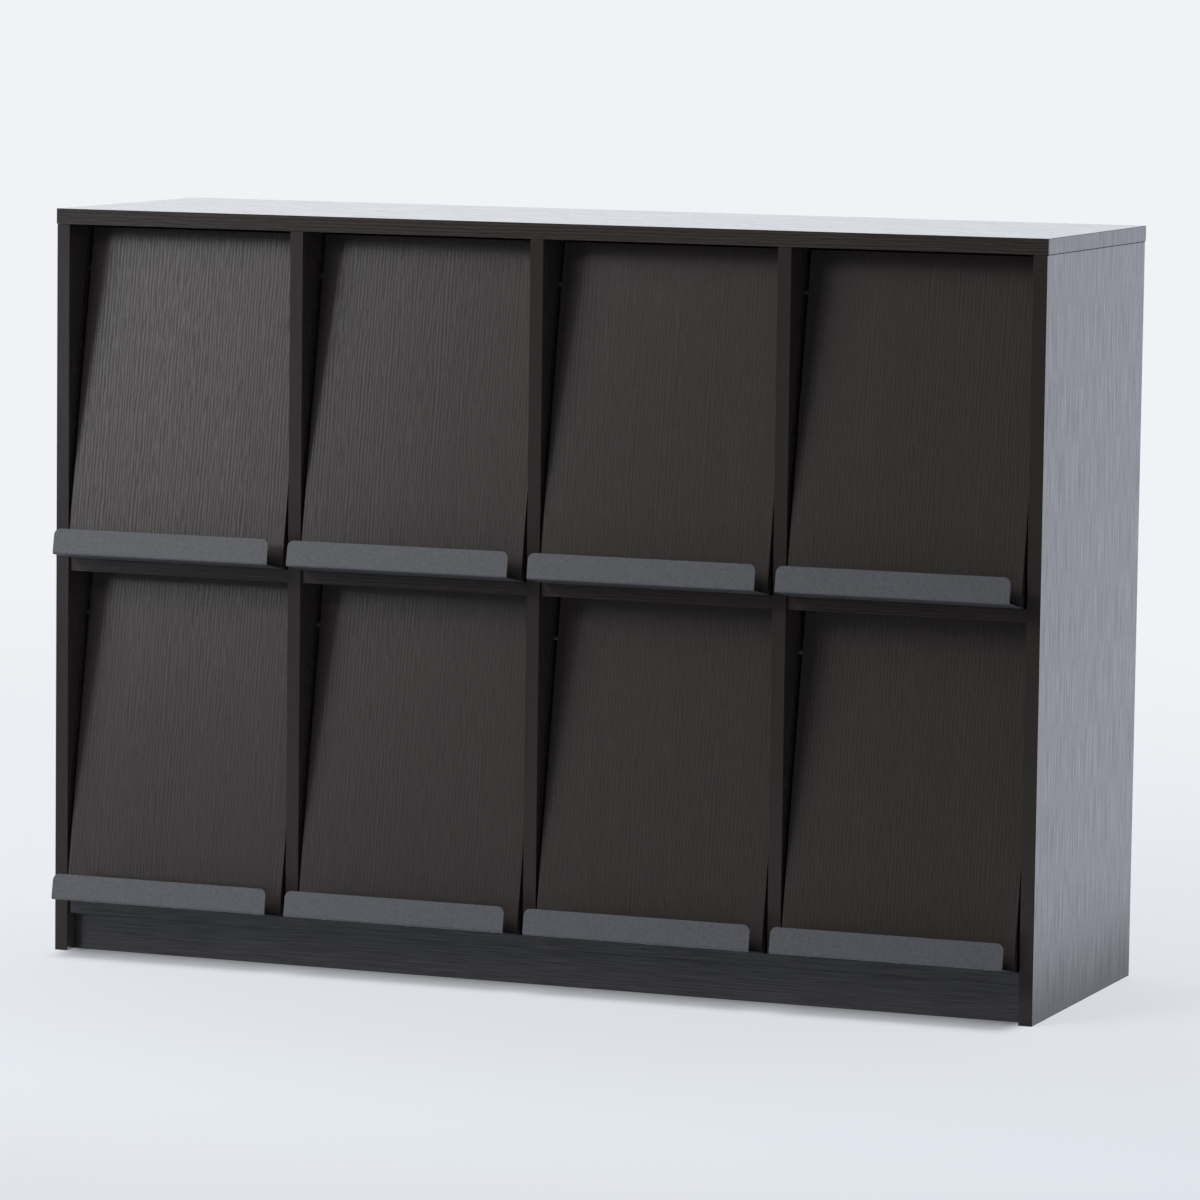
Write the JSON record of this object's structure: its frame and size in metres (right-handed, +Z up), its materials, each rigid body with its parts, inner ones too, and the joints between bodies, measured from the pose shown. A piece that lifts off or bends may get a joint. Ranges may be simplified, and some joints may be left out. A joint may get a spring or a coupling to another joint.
{
  "type": "periodical display rack",
  "caption": "Free-standing dark wood-grain rack whose leaning flaps show periodicals on steel lips, swing up on pivot pins and slide back over the storage bays behind.",
  "frame": {"origin": "floor level, under the middle of the rack with its lips", "axes": "+X to the right as seen from the front, +Y to the back, +Z up"},
  "size_m": [1.202, 0.4262, 0.87],
  "materials": {
    "dark_laminate": "satin wood-grain laminate, almost black-brown, with a fine straight embossed grain",
    "back_board": "thin matt printed hardboard",
    "grey_paint": "satin grey powder coat on bent sheet steel",
    "pin_steel": "bright turned steel"
  },
  "bodies": {
    "carcass": {"left_side": "dark_laminate", "right_side": "dark_laminate", "top_panel": "dark_laminate", "base_board": "dark_laminate", "toe_kick": "dark_laminate", "rear_plinth": "dark_laminate", "back_panel": "back_board", "divider_1": "dark_laminate", "divider_2": "dark_laminate", "divider_3": "dark_laminate", "shelf_1": "dark_laminate", "shelf_2": "dark_laminate", "shelf_3": "dark_laminate", "shelf_4": "dark_laminate", "rear_rail_upper_1": "dark_laminate", "rear_rail_upper_2": "dark_laminate", "rear_rail_upper_3": "dark_laminate", "rear_rail_upper_4": "dark_laminate", "rear_rail_lower_1": "dark_laminate", "rear_rail_lower_2": "dark_laminate", "rear_rail_lower_3": "dark_laminate", "rear_rail_lower_4": "dark_laminate"},
    "pivots_upper_1": {"pivot_pin_upper_1_left": "pin_steel", "pivot_pin_upper_1_right": "pin_steel"},
    "door_upper_1": {"flap_upper_1": "dark_laminate", "lip_upper_1": "grey_paint"},
    "pivots_upper_2": {"pivot_pin_upper_2_left": "pin_steel", "pivot_pin_upper_2_right": "pin_steel"},
    "door_upper_2": {"flap_upper_2": "dark_laminate", "lip_upper_2": "grey_paint"},
    "pivots_upper_3": {"pivot_pin_upper_3_left": "pin_steel", "pivot_pin_upper_3_right": "pin_steel"},
    "door_upper_3": {"flap_upper_3": "dark_laminate", "lip_upper_3": "grey_paint"},
    "pivots_upper_4": {"pivot_pin_upper_4_left": "pin_steel", "pivot_pin_upper_4_right": "pin_steel"},
    "door_upper_4": {"flap_upper_4": "dark_laminate", "lip_upper_4": "grey_paint"},
    "pivots_lower_1": {"pivot_pin_lower_1_left": "pin_steel", "pivot_pin_lower_1_right": "pin_steel"},
    "door_lower_1": {"flap_lower_1": "dark_laminate", "lip_lower_1": "grey_paint"},
    "pivots_lower_2": {"pivot_pin_lower_2_left": "pin_steel", "pivot_pin_lower_2_right": "pin_steel"},
    "door_lower_2": {"flap_lower_2": "dark_laminate", "lip_lower_2": "grey_paint"},
    "pivots_lower_3": {"pivot_pin_lower_3_left": "pin_steel", "pivot_pin_lower_3_right": "pin_steel"},
    "door_lower_3": {"flap_lower_3": "dark_laminate", "lip_lower_3": "grey_paint"},
    "pivots_lower_4": {"pivot_pin_lower_4_left": "pin_steel", "pivot_pin_lower_4_right": "pin_steel"},
    "door_lower_4": {"flap_lower_4": "dark_laminate", "lip_lower_4": "grey_paint"}
  },
  "joints": [
    {"name": "slide_upper_1", "type": "slide", "parent": "carcass", "child": "pivots_upper_1", "axis": [0, 1, 0], "range_m": [0, 0.257]},
    {"name": "swing_upper_1", "type": "hinge", "parent": "pivots_upper_1", "child": "door_upper_1", "pos_m": [-0.444, -0.1079, 0.799], "axis": [-1, 0, 0], "range_deg": [0, 80]},
    {"name": "slide_upper_2", "type": "slide", "parent": "carcass", "child": "pivots_upper_2", "axis": [0, 1, 0], "range_m": [0, 0.257]},
    {"name": "swing_upper_2", "type": "hinge", "parent": "pivots_upper_2", "child": "door_upper_2", "pos_m": [-0.148, -0.1079, 0.799], "axis": [-1, 0, 0], "range_deg": [0, 80]},
    {"name": "slide_upper_3", "type": "slide", "parent": "carcass", "child": "pivots_upper_3", "axis": [0, 1, 0], "range_m": [0, 0.257]},
    {"name": "swing_upper_3", "type": "hinge", "parent": "pivots_upper_3", "child": "door_upper_3", "pos_m": [0.148, -0.1079, 0.799], "axis": [-1, 0, 0], "range_deg": [0, 80]},
    {"name": "slide_upper_4", "type": "slide", "parent": "carcass", "child": "pivots_upper_4", "axis": [0, 1, 0], "range_m": [0, 0.257]},
    {"name": "swing_upper_4", "type": "hinge", "parent": "pivots_upper_4", "child": "door_upper_4", "pos_m": [0.444, -0.1079, 0.799], "axis": [-1, 0, 0], "range_deg": [0, 80]},
    {"name": "slide_lower_1", "type": "slide", "parent": "carcass", "child": "pivots_lower_1", "axis": [0, 1, 0], "range_m": [0, 0.257]},
    {"name": "swing_lower_1", "type": "hinge", "parent": "pivots_lower_1", "child": "door_lower_1", "pos_m": [-0.444, -0.1079, 0.395], "axis": [-1, 0, 0], "range_deg": [0, 80]},
    {"name": "slide_lower_2", "type": "slide", "parent": "carcass", "child": "pivots_lower_2", "axis": [0, 1, 0], "range_m": [0, 0.257]},
    {"name": "swing_lower_2", "type": "hinge", "parent": "pivots_lower_2", "child": "door_lower_2", "pos_m": [-0.148, -0.1079, 0.395], "axis": [-1, 0, 0], "range_deg": [0, 80]},
    {"name": "slide_lower_3", "type": "slide", "parent": "carcass", "child": "pivots_lower_3", "axis": [0, 1, 0], "range_m": [0, 0.257]},
    {"name": "swing_lower_3", "type": "hinge", "parent": "pivots_lower_3", "child": "door_lower_3", "pos_m": [0.148, -0.1079, 0.395], "axis": [-1, 0, 0], "range_deg": [0, 80]},
    {"name": "slide_lower_4", "type": "slide", "parent": "carcass", "child": "pivots_lower_4", "axis": [0, 1, 0], "range_m": [0, 0.257]},
    {"name": "swing_lower_4", "type": "hinge", "parent": "pivots_lower_4", "child": "door_lower_4", "pos_m": [0.444, -0.1079, 0.395], "axis": [-1, 0, 0], "range_deg": [0, 80]}
  ]
}
